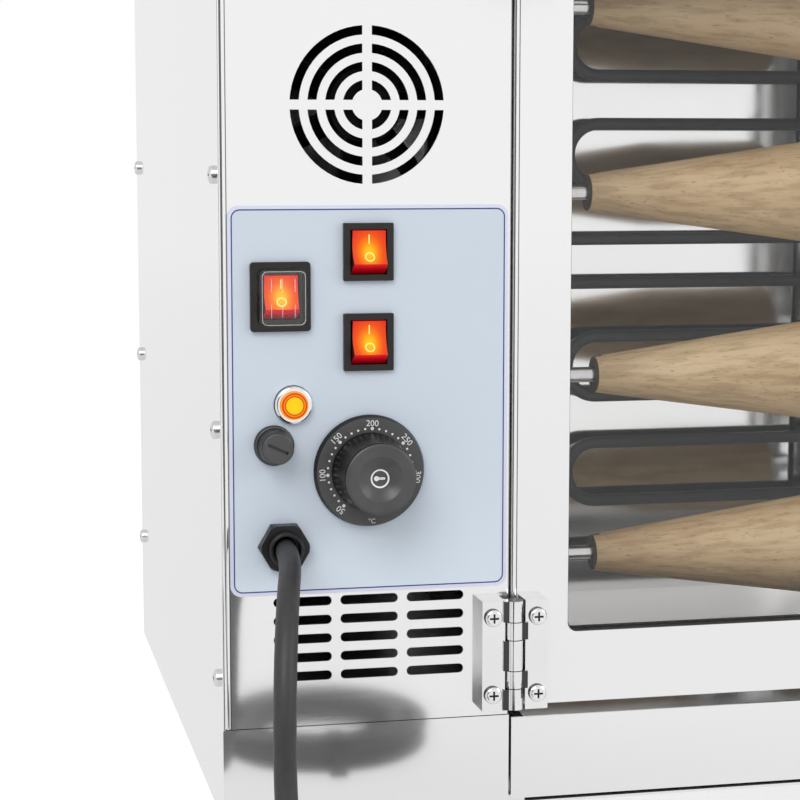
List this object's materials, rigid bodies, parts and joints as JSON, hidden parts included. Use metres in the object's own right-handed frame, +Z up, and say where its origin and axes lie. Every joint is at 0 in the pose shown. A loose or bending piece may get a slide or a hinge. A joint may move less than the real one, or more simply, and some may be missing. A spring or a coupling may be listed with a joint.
{
  "type": "chimney cake oven",
  "caption": "Table-top cabinet oven with two glass doors, driven wooden baking rollers, heating elements, a side control panel and a crumb drawer.",
  "frame": {"origin": "centre of the oven's box at the floor, without the cord, its coil and its plug", "axes": "+X to the right along the front, +Y to the back, +Z up; the doors and the control panel face -Y"},
  "size_m": [0.8326, 0.6794, 0.44],
  "materials": {
    "cabinet_steel": "satin stainless sheet",
    "liner_steel": "bright stainless sheet",
    "hinge_steel": "polished stainless",
    "handle_steel": "satin stainless bar",
    "screw_steel": "bright steel",
    "rubber": "matt black",
    "bearing_bronze": "sintered bronze",
    "motor_enamel": "grey enamel",
    "chain_steel": "oiled steel",
    "element_sheath": "dark oxidised sheath",
    "label_film": "satin printed film",
    "switch_black": "black moulded",
    "clear_cover": "clear flexible cover",
    "rocker_orange": "lit orange",
    "lamp_chrome": "polished",
    "lamp_amber": "lit amber",
    "bakelite_black": "black moulded",
    "gland_black": "black moulded",
    "cord_black": "black sheath",
    "fan_black": "black moulded",
    "window_glass": "clear",
    "shaft_steel": "turned steel",
    "beech": "bare turned wood"
  },
  "bodies": {
    "oven": {"base_frame": "cabinet_steel", "side_covers": "cabinet_steel", "top_cover": "cabinet_steel", "rear_cover": "cabinet_steel", "control_front": "cabinet_steel", "right_front": "cabinet_steel", "partitions": "liner_steel", "chamber_liner": "liner_steel", "centre_support": "liner_steel", "feet": "rubber", "cabinet_screws": "screw_steel", "spindle_bearings": "bearing_bronze", "drive_motors": "motor_enamel", "drive_chains": "chain_steel", "heating_elements": "element_sheath", "control_label": "label_film", "switch_housings": "switch_black", "power_switch_cover": "clear_cover", "lamp_ring": "lamp_chrome", "lamp_lens": "lamp_amber", "thermostats": "bakelite_black", "cord_gland": "gland_black", "power_cord": "cord_black", "cord_coil": "cord_black", "power_plug": "cord_black", "fan_frame": "fan_black", "cabinet_hinges": "hinge_steel"},
    "left_door": {"left_door_frame": "cabinet_steel", "left_door_glass": "window_glass", "left_door_gasket": "rubber", "left_door_handle": "handle_steel", "left_door_hinges": "hinge_steel"},
    "right_door": {"right_door_frame": "cabinet_steel", "right_door_glass": "window_glass", "right_door_gasket": "rubber", "right_door_handle": "handle_steel", "right_door_hinges": "hinge_steel"},
    "left_spindle_1": {"left_spindle_1": "shaft_steel"},
    "left_roller_1": {"left_roller_1": "beech"},
    "left_spindle_2": {"left_spindle_2": "shaft_steel"},
    "left_roller_2": {"left_roller_2": "beech"},
    "left_spindle_3": {"left_spindle_3": "shaft_steel"},
    "left_roller_3": {"left_roller_3": "beech"},
    "left_spindle_4": {"left_spindle_4": "shaft_steel"},
    "left_roller_4": {"left_roller_4": "beech"},
    "right_spindle_1": {"right_spindle_1": "shaft_steel"},
    "right_roller_1": {"right_roller_1": "beech"},
    "right_spindle_2": {"right_spindle_2": "shaft_steel"},
    "right_roller_2": {"right_roller_2": "beech"},
    "right_spindle_3": {"right_spindle_3": "shaft_steel"},
    "right_roller_3": {"right_roller_3": "beech"},
    "right_spindle_4": {"right_spindle_4": "shaft_steel"},
    "right_roller_4": {"right_roller_4": "beech"},
    "power_rocker": {"power_rocker": "rocker_orange"},
    "left_drive_rocker": {"left_drive_rocker": "rocker_orange"},
    "right_drive_rocker": {"right_drive_rocker": "rocker_orange"},
    "reset_cap": {"reset_cap": "bakelite_black"},
    "thermostat_knob": {"thermostat_knob": "bakelite_black"},
    "fan_rotor": {"fan_rotor": "fan_black"},
    "crumb_drawer": {"crumb_drawer": "cabinet_steel"}
  },
  "joints": [
    {"name": "left_door_swing", "type": "hinge", "parent": "oven", "child": "left_door", "pos_m": [-0.28165, -0.1812, 0.2522], "axis": [0, 0, -1], "range_deg": [0, 95]},
    {"name": "right_door_swing", "type": "hinge", "parent": "oven", "child": "right_door", "pos_m": [0.31765, -0.1812, 0.2522], "axis": [0, 0, 1], "range_deg": [0, 95]},
    {"name": "left_spindle_1_turn", "type": "hinge", "parent": "oven", "child": "left_spindle_1", "pos_m": [-0.182, -0.0992, 0.122], "axis": [1, 0, 0], "continuous": true},
    {"name": "left_roller_1_slide", "type": "slide", "parent": "left_spindle_1", "child": "left_roller_1", "axis": [1, 0, 0], "range_m": [0, 0.0175]},
    {"name": "left_spindle_2_turn", "type": "hinge", "parent": "oven", "child": "left_spindle_2", "pos_m": [-0.182, -0.0992, 0.21], "axis": [1, 0, 0], "continuous": true},
    {"name": "left_roller_2_slide", "type": "slide", "parent": "left_spindle_2", "child": "left_roller_2", "axis": [1, 0, 0], "range_m": [0, 0.0175]},
    {"name": "left_spindle_3_turn", "type": "hinge", "parent": "oven", "child": "left_spindle_3", "pos_m": [-0.182, -0.0992, 0.298], "axis": [1, 0, 0], "continuous": true},
    {"name": "left_roller_3_slide", "type": "slide", "parent": "left_spindle_3", "child": "left_roller_3", "axis": [1, 0, 0], "range_m": [0, 0.022]},
    {"name": "left_spindle_4_turn", "type": "hinge", "parent": "oven", "child": "left_spindle_4", "pos_m": [-0.182, -0.0992, 0.386], "axis": [1, 0, 0], "continuous": true},
    {"name": "left_roller_4_slide", "type": "slide", "parent": "left_spindle_4", "child": "left_roller_4", "axis": [1, 0, 0], "range_m": [0, 0.022]},
    {"name": "right_spindle_1_turn", "type": "hinge", "parent": "oven", "child": "right_spindle_1", "pos_m": [0.218, -0.0992, 0.122], "axis": [1, 0, 0], "continuous": true},
    {"name": "right_roller_1_slide", "type": "slide", "parent": "right_spindle_1", "child": "right_roller_1", "axis": [-1, 0, 0], "range_m": [0, 0.0175]},
    {"name": "right_spindle_2_turn", "type": "hinge", "parent": "oven", "child": "right_spindle_2", "pos_m": [0.218, -0.0992, 0.21], "axis": [1, 0, 0], "continuous": true},
    {"name": "right_roller_2_slide", "type": "slide", "parent": "right_spindle_2", "child": "right_roller_2", "axis": [-1, 0, 0], "range_m": [0, 0.0175]},
    {"name": "right_spindle_3_turn", "type": "hinge", "parent": "oven", "child": "right_spindle_3", "pos_m": [0.218, -0.0992, 0.298], "axis": [1, 0, 0], "continuous": true},
    {"name": "right_roller_3_slide", "type": "slide", "parent": "right_spindle_3", "child": "right_roller_3", "axis": [-1, 0, 0], "range_m": [0, 0.022]},
    {"name": "right_spindle_4_turn", "type": "hinge", "parent": "oven", "child": "right_spindle_4", "pos_m": [0.218, -0.0992, 0.386], "axis": [1, 0, 0], "continuous": true},
    {"name": "right_roller_4_slide", "type": "slide", "parent": "right_spindle_4", "child": "right_roller_4", "axis": [-1, 0, 0], "range_m": [0, 0.022]},
    {"name": "power_rocker_tip", "type": "hinge", "parent": "oven", "child": "power_rocker", "pos_m": [-0.3858, -0.1724, 0.2554], "axis": [1, 0, 0], "range_deg": [0, 30]},
    {"name": "left_drive_rocker_tip", "type": "hinge", "parent": "oven", "child": "left_drive_rocker", "pos_m": [-0.347, -0.1724, 0.2744], "axis": [1, 0, 0], "range_deg": [0, 30]},
    {"name": "right_drive_rocker_tip", "type": "hinge", "parent": "oven", "child": "right_drive_rocker", "pos_m": [-0.347, -0.1724, 0.2351], "axis": [1, 0, 0], "range_deg": [0, 30]},
    {"name": "reset_cap_turn", "type": "hinge", "parent": "oven", "child": "reset_cap", "pos_m": [-0.389, -0.1782, 0.1907], "axis": [0, -1, 0], "range_deg": [0, 90]},
    {"name": "thermostat_knob_turn", "type": "hinge", "parent": "oven", "child": "thermostat_knob", "pos_m": [-0.347, -0.1842, 0.1785], "axis": [0, 1, 0], "range_deg": [-97, 144]},
    {"name": "fan_rotor_turn", "type": "hinge", "parent": "oven", "child": "fan_rotor", "pos_m": [-0.347, -0.1622, 0.3377], "axis": [0, 1, 0], "continuous": true},
    {"name": "crumb_drawer_slide", "type": "slide", "parent": "oven", "child": "crumb_drawer", "axis": [0, -1, 0], "range_m": [0, 0.17]}
  ],
  "couplings": [
    {"joint": "left_spindle_1_turn", "follows": "left_spindle_2_turn", "ratio": 1},
    {"joint": "left_spindle_3_turn", "follows": "left_spindle_2_turn", "ratio": 1},
    {"joint": "left_spindle_4_turn", "follows": "left_spindle_2_turn", "ratio": 1},
    {"joint": "right_spindle_1_turn", "follows": "right_spindle_2_turn", "ratio": 1},
    {"joint": "right_spindle_3_turn", "follows": "right_spindle_2_turn", "ratio": 1},
    {"joint": "right_spindle_4_turn", "follows": "right_spindle_2_turn", "ratio": 1}
  ]
}
